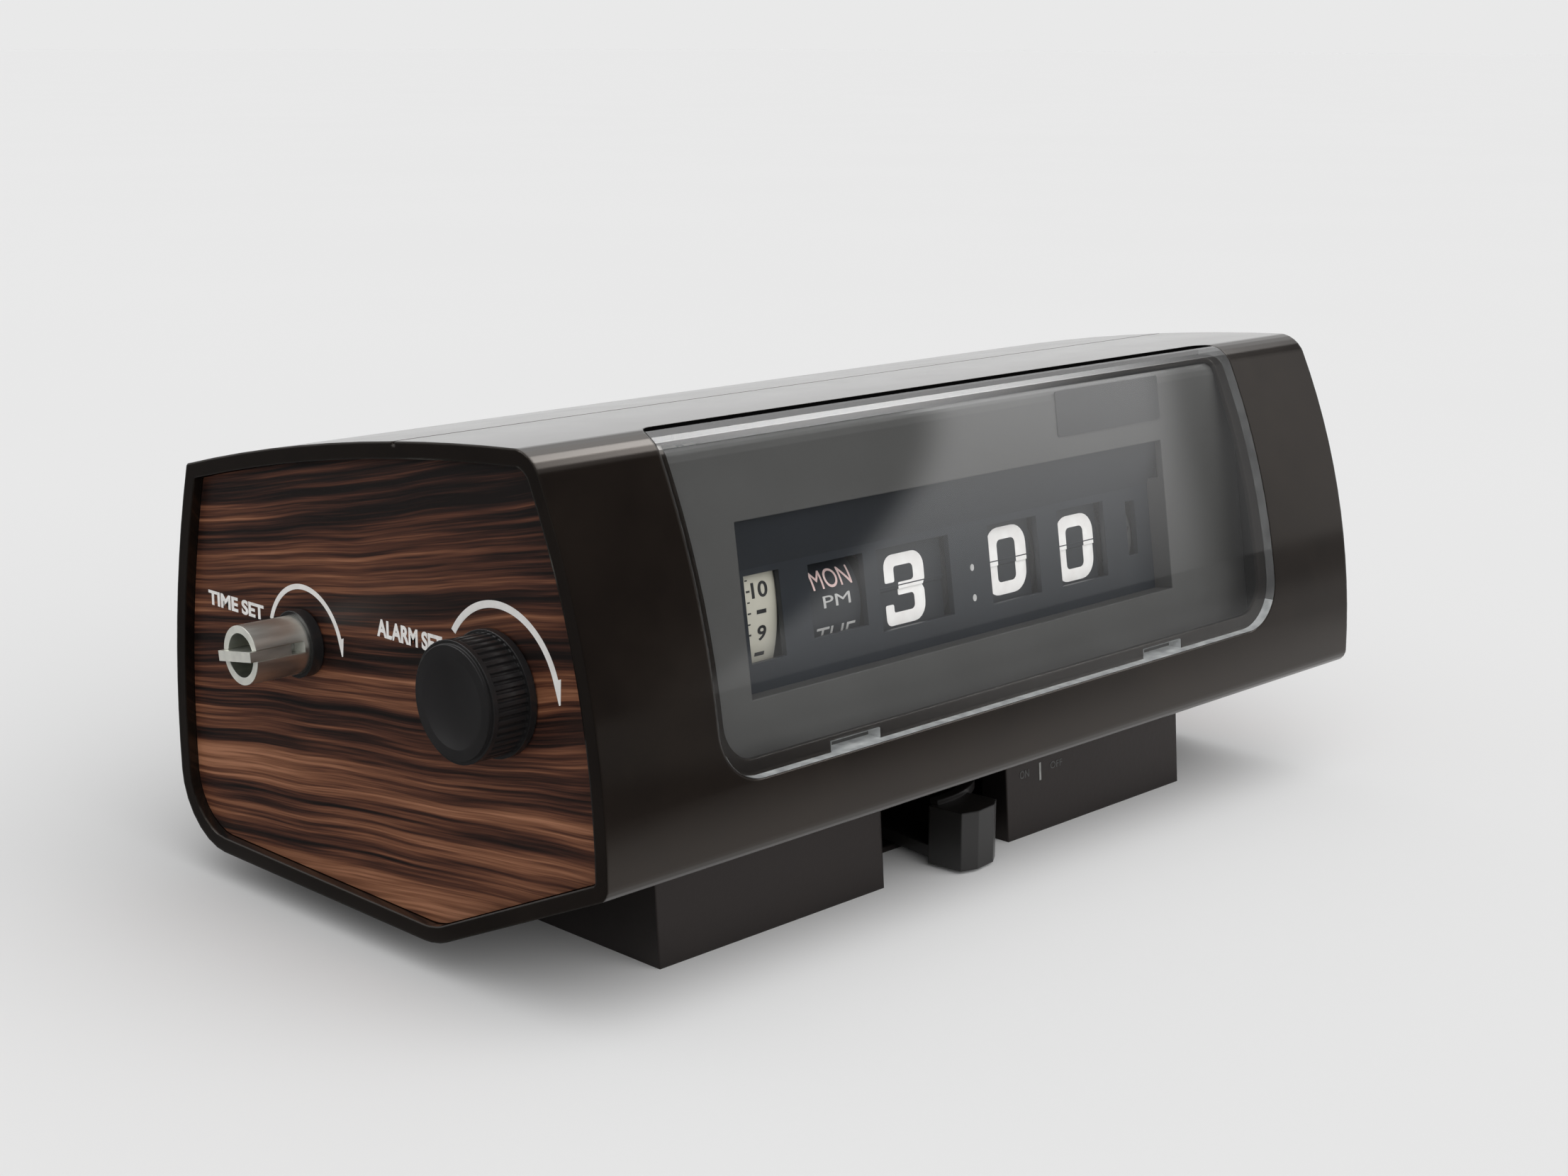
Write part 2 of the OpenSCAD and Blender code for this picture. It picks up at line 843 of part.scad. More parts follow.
module tens_flip_leaf() {
  flip_leaf(tens_l, tens_r, tens_n);
}

module units_hub() {
  color("dimgray")
    leaning()
      difference() {
        union() {
          bar(main_at, boss_r, stack_3 + end_gap / 2, plate_r - end_gap);
          bar(main_at, barrel_r, units_l - disc_t, units_r + disc_t);
          bar(main_at, disc_r, units_l - disc_t, units_l);
          bar(main_at, disc_r, units_r, units_r + disc_t);
          flat(main_at, wheel_x, wheel_x + wheel_t, train_angle)
            polygon(wheel_points(units_teeth));
        }
        bar(main_at, arbor_r + run_gap, stack_3 - 1, plate_r + 1);
      }
}

module units_leaves() {
  leaf_pack(units_l, units_r, units_n);
}

module units_flip_leaf() {
  flip_leaf(units_l, units_r, units_n);
}

module run_drum() {
  color("#d8d3c4")
    leaning()
      difference() {
        bar(main_at, run_drum_r, slot_x - slot_w / 2 - 0.3, slot_x + slot_w / 2 + 0.3);
        bar(main_at, boss_r + run_gap, slot_x - slot_w, slot_x + slot_w);
      }
}

function flute_points(r, n) =
  [for (i = [0 : n - 1], k = [0 : 3])
    (k < 2 ? r : r - 0.5) * unit(360 * (i + [0, 0.45, 0.6, 0.85][k]) / n)];

module alarm_knob() {
  x0 = -panel_x - knob_gap - knob_len;
  color("#121214")
    leaning()
      difference() {
        union() {
          flat(alarm_at, x0 + 1.4, -panel_x - 1.5)
            polygon(flute_points(knob_d / 2 - 0.1, knob_flutes));
          bar(alarm_at, knob_d / 2 - 0.7, x0, x0 + 2);
          bar(alarm_at, knob_d / 2, x0 + 0.6, x0 + 1.6);
          bar(alarm_at, knob_d / 2 + 0.5, -panel_x - 1.7, -panel_x - knob_gap);
        }
        translate([x0 + dish_deep - dish_r, alarm_at[0], alarm_at[1]])
          sphere(r = dish_r);
        bar(alarm_at, shaft_r + run_gap / 2, x0 + knob_bore, -panel_x + 1);
      }
}

module alarm_shaft() {
  color("silver")
    leaning()
      union() {
        bar(alarm_at, shaft_r, -panel_x - knob_gap - knob_len + knob_bore + 0.5, link_x - end_gap);
        bar(alarm_at, tail_r, link_x - 1, link_x + link_t);
      }
}
link_x = dial_l + 3.6;
link_t = 1.2;
link_r = 3;
link_w = 4;
tail_r = 1;
web_t = 1.4;
ring_t = 2;
stud_foot_r = 5;
stud_rest = 1.8;

module alarm_pinion() {
  color("#b08d3e")
    leaning()
      difference() {
        flat(alarm_at, dial_l + 0.4, dial_l + 0.8 + ring_t, dial_angle + 180)
          polygon(wheel_points(dial_pinion));
        bar(alarm_at, shaft_r + run_gap / 2, dial_l - 1, link_x);
      }
}

// Fixed stud of the alarm drum, with a link at its end that carries the alarm shaft
module alarm_stud() {
  color("silver")
    leaning()
      difference() {
        union() {
          bar(dial_at, shaft_r, link_x, plate_l - plate_t);
          bar(dial_at, stud_foot_r, plate_l - plate_t - stud_rest, plate_l - plate_t);
          bar(dial_at, link_r, link_x, link_x + link_t);
          bar(alarm_at, tail_r + 1.2, link_x, link_x + link_t);
          flat(alarm_at, link_x, link_x + link_t, dial_angle)
            translate([0, -link_w / 2])
              square([norm(dial_at - alarm_at), link_w]);
        }
        bar(alarm_at, tail_r + run_gap, link_x - 1, link_x + link_t + 1);
      }
}

// Outline cut by the inner teeth of the drum, with a gap between its teeth on its first axis
function ring_points(n) =
  let (p = tooth_m * n / 2, b = p * cos(25), s = p - 0.8 * tooth_m, e = p + 1.05 * tooth_m)
  [for (i = [0 : n - 1], k = [0 : 7])
    let (t = (k < 4 ? k : 7 - k) / 3, r = s + (e - s) * t, h = half_tooth(r, n) + 0.1 / p * 180 / PI)
    r * unit(360 * i / n + (k < 4 ? -h : h))];

module alarm_drum() {
  color("#d9cba4")
    leaning()
      difference() {
        union() {
          difference() {
            bar(dial_at, dial_r, dial_l, dial_right);
            bar(dial_at, dial_r - web_t, dial_l - 1, dial_right - web_t);
          }
          difference() {
            bar(dial_at, dial_r - 1, dial_l + 0.6, dial_l + 0.6 + ring_t);
            flat(dial_at, dial_l, dial_l + 1 + ring_t, dial_angle + 180)
              polygon(ring_points(dial_ring));
          }
          bar(dial_at, 4, link_x + link_t + end_gap, plate_l - plate_t - stud_rest - end_gap);
        }
        bar(dial_at, shaft_r + run_gap, dial_l, plate_l - plate_t);
      }
}

collar_x = -panel_x - collar_gap - collar_t;
module time_collar() {
  color("#161616")
    leaning()
      difference() {
        bar(setting_at, sleeve_d / 2 + 0.8, collar_x, -panel_x - collar_gap);
        bar(setting_at, shaft_r + run_gap / 2, collar_x - 1, -panel_x + 1);
      }
}

module time_sleeve() {
  x0 = collar_x - sleeve_len;
  color("#c9ccd0")
    leaning()
      difference() {
        bar(setting_at, sleeve_d / 2, x0, collar_x);
        bar(setting_at, sleeve_d / 2 - 1.4, x0 - 1, collar_x - 2.4);
        bar(setting_at, shaft_r + run_gap / 2, x0 - 1, collar_x + 1);
        translate([x0 - 1, setting_at[0] - sleeve_d, setting_at[1] - sleeve_slot / 2])
          cube([sleeve_len - 0.2, 2 * sleeve_d, sleeve_slot]);
      }
}

module time_tongue() {
  x0 = collar_x - sleeve_len - 1.3;
  color("#a9acb0")
    leaning()
      translate([x0, setting_at[0] - sleeve_d / 2 + 0.2, setting_at[1] - sleeve_slot / 2 + run_gap])
        cube([sleeve_len - 2.6, sleeve_d - 0.4, sleeve_slot - 2 * run_gap]);
}

module time_shaft() {
  color("silver")
    leaning()
      bar(setting_at, shaft_r, collar_x - 2.2, plate_r + plate_t + 2);
}

module setting_wheel() {
  color("#b08d3e")
    leaning()
      difference() {
        union() {
          flat(setting_at, wheel_x, wheel_x + wheel_t, train_angle + 180)
            polygon(wheel_points(setting_teeth));
          bar(setting_at, 4, wheel_x, plate_r - end_gap);
        }
        bar(setting_at, shaft_r + run_gap / 2, wheel_x - 1, plate_r);
        spoke_holes(setting_at, 9.2, 3, 5);
      }
}

// Ring of round holes through a wheel
module spoke_holes(at, ring, r, n) {
  for (i = [0 : n - 1])
    bar(at + ring * unit(360 * i / n), r, wheel_x - 1, wheel_x + wheel_t + 1);
}

module idler_wheel() {
  color("#b08d3e")
    leaning()
      difference() {
        union() {
          flat(idler_at, wheel_x, wheel_x + wheel_t, train_angle + 180 + 180 / idler_teeth)
            polygon(wheel_points(idler_teeth));
          bar(idler_at, 3.5, wheel_x, plate_r - end_gap);
        }
        bar(idler_at, idler_r + run_gap, wheel_x - 1, plate_r);
        spoke_holes(idler_at, 9, 3, 5);
      }
}

module idler_stud() {
  color("silver")
    leaning()
      union() {
        bar(idler_at, idler_r, wheel_x - 1, plate_r + plate_t);
        bar(idler_at, 2.6, wheel_x - 1.2, wheel_x - end_gap);
      }
}

module motor() {
  x0 = plate_r + plate_t;
  color("#8d8f8c")
    leaning()
      difference() {
        union() {
          bar(pinion_at, motor_d / 2, x0 + 1, x0 + motor_len);
          translate([x0, pinion_at[0] - 8, pinion_at[1] - motor_d / 2 - 3])
            cube([1.2, 16, motor_d + 6]);
          bar(pinion_at, 5, x0 + motor_len - 1, x0 + motor_len + 2);
        }
        bar(pinion_at, motor_shaft_r + run_gap, x0 - 1, x0 + 8);
      }
}

module motor_pinion() {
  color("#c8a951")
    leaning()
      union() {
        flat(pinion_at, wheel_x - 0.2, wheel_x + wheel_t + 0.2, pinion_angle + 180)
          polygon(wheel_points(pinion_teeth));
        bar(pinion_at, motor_shaft_r, wheel_x, plate_r + plate_t + 7);
      }
}

module pawl_shaft() {
  color("silver")
    leaning()
      bar(pawl_at, pawl_r, plate_l - plate_t, plate_r + plate_t);
}

// Finger that reaches from its shaft to a sawtooth rim
module pawl(x) {
  reach = norm(main_at - pawl_at) - disc_r - 0.3;
  a = bearing(main_at - pawl_at);
  color("#8a7a4a")
    leaning()
      difference() {
        union() {
          bar(pawl_at, 2.4, x - 1.5, x + 1.5);
          flat(pawl_at, x - 0.4, x + 0.4, a)
            polygon([[0, -1.4], [reach - 2.5, -0.9], [reach, -0.1], [reach - 0.4, 0.7], [0, 1.4]]);
        }
        bar(pawl_at, pawl_r + run_gap, x - 3, x + 3);
      }
}

module day_pawl() {
  pawl(day_l - ratchet_gap - disc_t / 2);
}

module hour_pawl() {
  pawl(hour_l - disc_t / 2);
}

module tens_pawl() {
  pawl(tens_l - disc_t / 2);
}

module buzzer() {
  color("#6b3a22")
    leaning()
      union() {
        bar(buzzer_at, coil_r, plate_r - coil_foot_t - coil_l, plate_r - coil_foot_t);
        bar(buzzer_at, coil_core_r, plate_r - coil_foot_t - coil_l - coil_core_out, plate_r);
        translate([plate_r - coil_foot_t, buzzer_at[0] - coil_foot_w / 2, buzzer_at[1] - coil_core_r])
          cube([coil_foot_t, coil_foot_w, 2 * coil_core_r]);
      }
}

module cord_gland() {
  color("#101010")
    translate([gland_x, 0, back_c[1]])
      rotate([-90, 0, 0])
        difference() {
          union() {
            translate([0, 0, case_back - wall - 1.6])
              cylinder(r = gland_r - run_gap, h = wall + 3);
            translate([0, 0, case_back + 0.1])
              cylinder(r = gland_r + 2, h = 1.5);
            translate([0, 0, case_back - wall - 1.8])
              cylinder(r = gland_r + 1.5, h = 1.5);
          }
          translate([0, 0, case_back - wall - 3])
            cylinder(r = gland_bore_r, h = wall + 8);
        }
}

case_shell();
left_end_panel();
right_end_panel();
lens();
fascia();
display_mask();
base_block();
base_screws();
alarm_lever();
lever_pin();
left_plate();
right_plate();
tie_rods();
main_arbor();
day_drum();
hour_hub();
hour_leaves();
hour_flip_leaf();
tens_hub();
tens_leaves();
tens_flip_leaf();
units_hub();
units_leaves();
units_flip_leaf();
run_drum();
alarm_knob();
alarm_shaft();
alarm_pinion();
alarm_stud();
alarm_drum();
time_sleeve();
time_tongue();
time_collar();
time_shaft();
setting_wheel();
idler_wheel();
idler_stud();
motor();
motor_pinion();
pawl_shaft();
day_pawl();
hour_pawl();
tens_pawl();
buzzer();
cord_gland();
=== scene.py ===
import math

import bmesh
import bpy
from mathutils import Matrix, Vector


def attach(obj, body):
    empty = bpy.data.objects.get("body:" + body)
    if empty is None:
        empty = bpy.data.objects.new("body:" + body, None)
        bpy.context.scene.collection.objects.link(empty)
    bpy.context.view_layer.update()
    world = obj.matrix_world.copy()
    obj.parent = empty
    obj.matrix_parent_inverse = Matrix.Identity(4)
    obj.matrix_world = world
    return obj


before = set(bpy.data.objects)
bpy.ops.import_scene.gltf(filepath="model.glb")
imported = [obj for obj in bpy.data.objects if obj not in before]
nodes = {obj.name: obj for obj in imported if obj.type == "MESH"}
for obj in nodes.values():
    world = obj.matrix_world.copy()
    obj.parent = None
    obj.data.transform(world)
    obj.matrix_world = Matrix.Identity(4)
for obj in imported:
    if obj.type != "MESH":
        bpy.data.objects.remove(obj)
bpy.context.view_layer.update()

# Lengths are in millimetres, apart from the wood's levels and grain, the floor's steps and the camera, in metres
MM = 0.001
LEAN = math.radians(8.5)
LEAF_Y, SPLIT_Z = -41.6, 61.0
LEAN_M = Matrix.Translation((0, LEAF_Y * MM, SPLIT_Z * MM)) @ Matrix.Rotation(-LEAN, 4, "X")
FACE_ON = Matrix.Rotation(math.radians(90), 4, "X")
SIDE_ON = Matrix(((0, 0, -1, 0), (-1, 0, 0, 0), (0, 1, 0, 0), (0, 0, 0, 1)))
PANEL_X = -108.0
BASE_Y, BASE_LEAN = -39.0, math.radians(4.3)
BASE_M = Matrix.Translation((0, BASE_Y * MM, 0)) @ Matrix.Rotation(-BASE_LEAN, 4, "X")
# Thickness of the prints on leaves and drums, and of those on end panel and base
INK_T, PAINT_T = 0.03, 0.06


def lean_place(x, u, w):
    """Drawing plane that faces the viewer, at a point of the leaning display frame."""
    return LEAN_M @ Matrix.Translation((x * MM, u * MM, w * MM)) @ FACE_ON


def panel_place(y, z):
    """Drawing plane on the left end panel, seen from outside."""
    return Matrix.Translation(((PANEL_X - PAINT_T / 2) * MM, y * MM, z * MM)) @ SIDE_ON


def base_place(x, z):
    """Drawing plane on the front of the base."""
    return BASE_M @ Matrix.Translation((x * MM, -PAINT_T / 2 * MM, z * MM)) @ FACE_ON


# Materials
WOOD = (
    (0.53, (0.0085, 0.006, 0.0055)),
    (0.595, (0.03, 0.013, 0.0095)),
    (0.66, (0.088, 0.033, 0.019)),
    (0.73, (0.19, 0.078, 0.04)),
    (0.82, (0.34, 0.155, 0.085)),
)
WOOD_FOOT, WOOD_TOP = 0.015, 0.085
GRAIN_DEPTH = 0.0002
GRAIN_SCALE = (900, 900, 900)
ACRYLIC_IOR = 1.49
SHADOW_GAP_BLUR = 0.08


def material(name):
    m = bpy.data.materials.new(name)
    m.use_nodes = True
    nt = m.node_tree
    nt.nodes.clear()
    out = nt.nodes.new("ShaderNodeOutputMaterial")
    return m, nt, out


def node(nt, kind, **values):
    n = nt.nodes.new(kind)
    for k, v in values.items():
        if k in n.inputs:
            n.inputs[k].default_value = v
        else:
            setattr(n, k, v)
    return n


def ramp(nt, socket, stops):
    """Colour that runs through the given stops."""
    n = nt.nodes.new("ShaderNodeValToRGB")
    el = n.color_ramp.elements
    while len(el) < len(stops):
        el.new(0.5)
    for e, (p, c) in zip(el, stops):
        e.position = p
        e.color = (*c, 1.0)
    nt.links.new(socket, n.inputs["Fac"])
    return n.outputs["Color"]


def maths(nt, op, *args, clamp=False):
    """Sum, product or the like of sockets and plain numbers."""
    n = node(nt, "ShaderNodeMath", operation=op, use_clamp=clamp)
    for i, a in enumerate(args):
        if isinstance(a, (int, float)):
            n.inputs[i].default_value = a
        else:
            nt.links.new(a, n.inputs[i])
    return n.outputs[0]


def spread(nt, socket, lo, hi, to_lo=0.0, to_hi=1.0, shape="LINEAR"):
    """Maps a value from one range to another."""
    n = node(nt, "ShaderNodeMapRange", interpolation_type=shape)
    for k, v in (("From Min", lo), ("From Max", hi), ("To Min", to_lo), ("To Max", to_hi)):
        n.inputs[k].default_value = v
    nt.links.new(socket, n.inputs["Value"])
    return n.outputs["Result"]


def split(nt, vector):
    n = nt.nodes.new("ShaderNodeSeparateXYZ")
    nt.links.new(vector, n.inputs["Vector"])
    return n.outputs


def noise(nt, scale, detail, rough=0.5, vector=None):
    """Noise over the object's own space, or over another vector."""
    if vector is None:
        vector = nt.nodes.new("ShaderNodeTexCoord").outputs["Object"]
    mp = node(nt, "ShaderNodeMapping")
    mp.inputs["Scale"].default_value = scale
    nt.links.new(vector, mp.inputs["Vector"])
    n = node(nt, "ShaderNodeTexNoise", Scale=1.0, Detail=detail, Roughness=rough)
    nt.links.new(mp.outputs["Vector"], n.inputs["Vector"])
    return n.outputs["Fac"]


def bumped(nt, shader, height, strength):
    k = node(nt, "ShaderNodeBump", Strength=strength, Distance=GRAIN_DEPTH)
    nt.links.new(height, k.inputs["Height"])
    nt.links.new(k.outputs["Normal"], shader.inputs["Normal"])
    return k


def blend(nt, amount, first, second):
    """Mix of two shader nodes."""
    mix = nt.nodes.new("ShaderNodeMixShader")
    nt.links.new(amount, mix.inputs["Fac"])
    nt.links.new(first.outputs[0], mix.inputs[1])
    nt.links.new(second.outputs[0], mix.inputs[2])
    return mix


def surface(name, dark, light, rough=(0.3, 0.45), scale=(60, 60, 60), detail=4, metal=0.0, bump=0.0, spec=0.5,
            edge=0.0, sheen=(1.0, 1.0, 1.0)):
    """Solid finish whose colour and roughness drift gently, with softened edges and an optional fine grain."""
    m, nt, out = material(name)
    b = node(nt, "ShaderNodeBsdfPrincipled", Metallic=metal)
    b.inputs["Specular IOR Level"].default_value = spec
    b.inputs["Specular Tint"].default_value = (*sheen, 1.0)
    drift = noise(nt, scale, detail, 0.55)
    nt.links.new(ramp(nt, drift, [(0.3, dark), (0.7, light)]), b.inputs["Base Color"])
    nt.links.new(spread(nt, drift, 0.0, 1.0, *rough), b.inputs["Roughness"])
    bends = bumped(nt, b, noise(nt, GRAIN_SCALE, 3.0), bump) if bump else b
    if edge:
        e = node(nt, "ShaderNodeBevel", samples=4, Radius=edge * MM)
        nt.links.new(e.outputs["Normal"], bends.inputs["Normal"])
    nt.links.new(b.outputs["BSDF"], out.inputs["Surface"])
    return m


def wood(name):
    """Dark striped veneer: long fine streaks that climb a little towards the front, paler and flatter lower down."""
    m, nt, out = material(name)
    b = node(nt, "ShaderNodeBsdfPrincipled")
    b.inputs["Specular IOR Level"].default_value = 0.16
    place = nt.nodes.new("ShaderNodeTexCoord").outputs["Object"]
    part = split(nt, place)

    def by_height(at_foot, at_top):
        return spread(nt, part["Z"], WOOD_FOOT, WOOD_TOP, at_foot, at_top)

    climb = maths(nt, "MULTIPLY", part["Y"], by_height(0.11, 0.21))
    wave = maths(nt, "MULTIPLY", maths(nt, "SUBTRACT", noise(nt, (9, 15, 24), 2, 0.5, place), 0.5), 0.006)
    level = maths(nt, "ADD", maths(nt, "ADD", part["Z"], climb), wave)
    flow = nt.nodes.new("ShaderNodeCombineXYZ")
    for axis, socket in (("X", part["X"]), ("Y", part["Y"]), ("Z", level)):
        nt.links.new(socket, flow.inputs[axis])
    flow = flow.outputs["Vector"]
    band = noise(nt, (8, 4, 150), 3, 0.6, flow)
    streak = noise(nt, (16, 9, 640), 5, 0.65, flow)
    pore = noise(nt, (40, 26, 1700), 3, 0.6, flow)
    broad = maths(nt, "ADD", maths(nt, "MULTIPLY", band, 0.57), maths(nt, "MULTIPLY", streak, 0.55))
    grain = maths(nt, "ADD", broad, maths(nt, "MULTIPLY", pore, 0.3))
    tone = maths(nt, "ADD", grain, by_height(-0.018, -0.125))
    nt.links.new(ramp(nt, tone, WOOD), b.inputs["Base Color"])
    nt.links.new(spread(nt, streak, 0.0, 1.0, 0.32, 0.5), b.inputs["Roughness"])
    bumped(nt, b, pore, 0.12)
    nt.links.new(b.outputs["BSDF"], out.inputs["Surface"])
    return m


def clear(name, tint, gain, rough, shadow_gap_y):
    """Clear moulding: see-through, with a reflection on its outer faces that grows towards the rim, and faint smears.

    Behind the given level it is painted dark: painted shade that stands for the shadow gap along the rear edge.
    """
    m, nt, out = material(name)
    see = node(nt, "ShaderNodeBsdfTransparent", Color=(*tint, 1.0))
    shine = node(nt, "ShaderNodeBsdfGlossy", Color=(1.0, 1.0, 1.0, 1.0))
    smears = noise(nt, (45, 45, 45), 5.0, 0.6)
    nt.links.new(spread(nt, smears, 0.0, 1.0, *rough), shine.inputs["Roughness"])
    rim = node(nt, "ShaderNodeFresnel", IOR=ACRYLIC_IOR).outputs["Fac"]
    geo = nt.nodes.new("ShaderNodeNewGeometry")
    outside = maths(nt, "SUBTRACT", 1.0, geo.outputs["Backfacing"])
    amount = maths(nt, "MULTIPLY", maths(nt, "MULTIPLY", rim, outside), gain, clamp=True)
    glass = blend(nt, amount, see, shine)
    in_shadow_gap = spread(nt, split(nt, geo.outputs["Position"])["Y"], (shadow_gap_y - SHADOW_GAP_BLUR) * MM,
                       (shadow_gap_y + SHADOW_GAP_BLUR) * MM)
    # Painted shade: near-black finish behind that level, standing for the shadow gap
    gap_shade_paint = node(nt, "ShaderNodeBsdfDiffuse", Color=(0.002, 0.002, 0.002, 1.0))
    nt.links.new(blend(nt, in_shadow_gap, glass, gap_shade_paint).outputs["Shader"], out.inputs["Surface"])
    return m


def frosted(name, amount):
    """Cut edge of the clear moulding: pale and partly see-through; the pale colour is partly a frosted cut face and
    partly a painted highlight for light caught in the acrylic.
    """
    m, nt, out = material(name)
    see = nt.nodes.new("ShaderNodeBsdfTransparent")
    b = node(nt, "ShaderNodeBsdfPrincipled", Roughness=0.15)
    drift = noise(nt, (300, 300, 300), 3.0)
    pale = ramp(nt, drift, [(0.35, (0.6, 0.62, 0.63)), (0.65, (0.9, 0.92, 0.92))])
    nt.links.new(pale, b.inputs["Base Color"])
    mix = blend(nt, spread(nt, drift, 0.0, 1.0, *amount), see, b)
    nt.links.new(mix.outputs["Shader"], out.inputs["Surface"])
    return m


M = {
    "case": surface("case_gloss", (0.004, 0.0027, 0.0022), (0.007, 0.0048, 0.0036), (0.09, 0.17), (70, 70, 70), 6,
                    edge=0.6, sheen=(1.0, 0.89, 0.79)),
    "wood": wood("end_wood"),
    # The lens's rear strip is painted dark, as painted shade for the shadow gap along its rear edge
    "lens": clear("lens_clear", (0.96, 0.965, 0.965), 1.25, (0.03, 0.045), -41.5),
    # Pale cut edges of the lens: frosted, and partly painted highlights
    "lens_edge_glint": frosted("lens_edge_glint", (0.5, 0.8)),
    "lens_side_glint": frosted("lens_side_glint", (0.1, 0.22)),
    "fascia": surface("fascia_satin", (0.064, 0.062, 0.060), (0.073, 0.071, 0.069), (0.42, 0.55), edge=0.4),
    "mask": surface("mask_satin", (0.0095, 0.012, 0.017), (0.0125, 0.016, 0.0225), (0.4, 0.55), edge=0.25),
    # Darker fascia finish for the hood: painted shade
    "hood": surface("hood_painted_shade", (0.016, 0.018, 0.0215), (0.020, 0.0225, 0.028), (0.5, 0.65), spec=0.25),
    "base": surface("base_matt", (0.0032, 0.0027, 0.0026), (0.0055, 0.0047, 0.0044), (0.36, 0.5), bump=0.12, edge=0.7,
                    sheen=(0.95, 0.82, 0.78)),
    "knob": surface("knob_gloss", (0.010, 0.0095, 0.0095), (0.015, 0.014, 0.0145), (0.2, 0.3), edge=0.25),
    "lever": surface("lever_satin", (0.008, 0.0075, 0.007), (0.012, 0.011, 0.0105), (0.28, 0.4), edge=0.5),
    "chrome": surface("sleeve_chrome", (0.76, 0.78, 0.72), (0.88, 0.89, 0.83), (0.26, 0.38), (150, 900, 900),
                      metal=1.0, edge=0.3),
    "cut": surface("sleeve_cut_face", (0.72, 0.72, 0.66), (0.84, 0.84, 0.77), (0.4, 0.55), (500, 500, 500), metal=0.5),
    "steel": surface("steel_drawn", (0.42, 0.42, 0.40), (0.55, 0.55, 0.53), (0.28, 0.42), (60, 600, 600), metal=1.0),
    "brass": surface("brass_turned", (0.52, 0.37, 0.14), (0.66, 0.49, 0.2), (0.25, 0.4), (300, 300, 300), metal=1.0),
    "ivory": surface("drum_ivory", (0.48, 0.455, 0.38), (0.57, 0.545, 0.47), (0.4, 0.55)),
    "leaf": surface("leaf_satin", (0.008, 0.010, 0.014), (0.011, 0.014, 0.019), (0.4, 0.55)),
    "hub": surface("hub_dark", (0.02, 0.02, 0.02), (0.03, 0.03, 0.03), (0.4, 0.55)),
    "run": surface("run_grey", (0.06, 0.06, 0.058), (0.085, 0.085, 0.082), (0.4, 0.55)),
    "motor": surface("motor_can", (0.4, 0.4, 0.38), (0.5, 0.5, 0.48), (0.3, 0.45), (80, 400, 400), metal=1.0),
    "coil": surface("coil_enamel", (0.14, 0.045, 0.015), (0.22, 0.08, 0.03), (0.3, 0.45), (900, 60, 60)),
    "gland": surface("gland_rubber", (0.01, 0.01, 0.01), (0.018, 0.018, 0.018), (0.6, 0.75)),
    "white": surface("print_white", (0.74, 0.72, 0.69), (0.84, 0.83, 0.81), (0.45, 0.6), (400, 400, 400)),
    "digit": surface("digit_white", (0.84, 0.80, 0.78), (0.94, 0.92, 0.90), (0.45, 0.6), (300, 300, 300)),
    # Dim grey print, also used as painted shade on the days out of the window
    "dim": surface("dim_print_and_shade", (0.42, 0.41, 0.40), (0.52, 0.51, 0.50), (0.45, 0.6), (500, 500, 500)),
    "pink": surface("print_pink", (0.62, 0.42, 0.40), (0.74, 0.56, 0.53), (0.45, 0.6), (500, 500, 500)),
    "ink": surface("print_ink", (0.012, 0.012, 0.013), (0.03, 0.03, 0.03), (0.5, 0.65), (400, 400, 400)),
    "faint": surface("print_faint", (0.05, 0.05, 0.048), (0.08, 0.08, 0.078), (0.5, 0.65), (400, 400, 400)),
    "badge": surface("badge_plate", (0.022, 0.022, 0.023), (0.028, 0.028, 0.029), (0.3, 0.4)),
    "grey": surface("print_grey", (0.22, 0.22, 0.21), (0.3, 0.3, 0.29), (0.5, 0.65), (400, 400, 400)),
}

FINISH = {
    "case": ["case_shell"], "wood": ["left_end_panel", "right_end_panel"], "lens": ["lens"], "fascia": ["fascia"],
    "mask": ["display_mask"], "base": ["base_block"], "knob": ["alarm_knob", "time_collar"],
    "lever": ["alarm_lever"], "chrome": ["time_sleeve", "time_tongue"],
    "steel": ["base_screws", "lever_pin", "left_plate", "right_plate", "main_arbor", "alarm_shaft", "time_shaft",
              "idler_stud", "pawl_shaft", "alarm_stud"],
    "brass": ["tie_rods", "alarm_pinion", "setting_wheel", "idler_wheel", "motor_pinion", "day_pawl", "hour_pawl",
              "tens_pawl"],
    "ivory": ["alarm_drum"],
    "leaf": ["hour_leaves", "tens_leaves", "units_leaves", "hour_flip_leaf", "tens_flip_leaf", "units_flip_leaf",
             "day_drum"],
    "hub": ["hour_hub", "tens_hub", "units_hub"], "run": ["run_drum"], "motor": ["motor"], "coil": ["buzzer"],
    "gland": ["cord_gland"],
}
for key, names in FINISH.items():
    for n in names:
        nodes[n].data.materials.clear()
        nodes[n].data.materials.append(M[key])


def refinish(piece, mat, picked, to_frame=Matrix.Identity(4)):
    """Another finish for the faces that are picked by centre and normal, both in the given frame."""
    me = nodes[piece].data
    me.materials.append(M[mat])
    there = to_frame @ nodes[piece].matrix_world
    turned = there.to_3x3()
    for f in me.polygons:
        if picked(there @ f.center / MM, turned @ f.normal):
            f.material_index = len(me.materials) - 1


# Axis of the lens's curved face, and the radius inside which its lugs lie
LENS_AXIS_Y, LENS_AXIS_Z, LUG_R = 88.6, 29.0, 147.8
# Levels below which the lens's lower faces, lugs and lug sides lie
EDGE_TOP, LUG_TOP, SIDE_TOP = 52, 43, 44
# The hood lies above and behind this line of the leaning frame
HOOD_W, HOOD_U = 9, -6


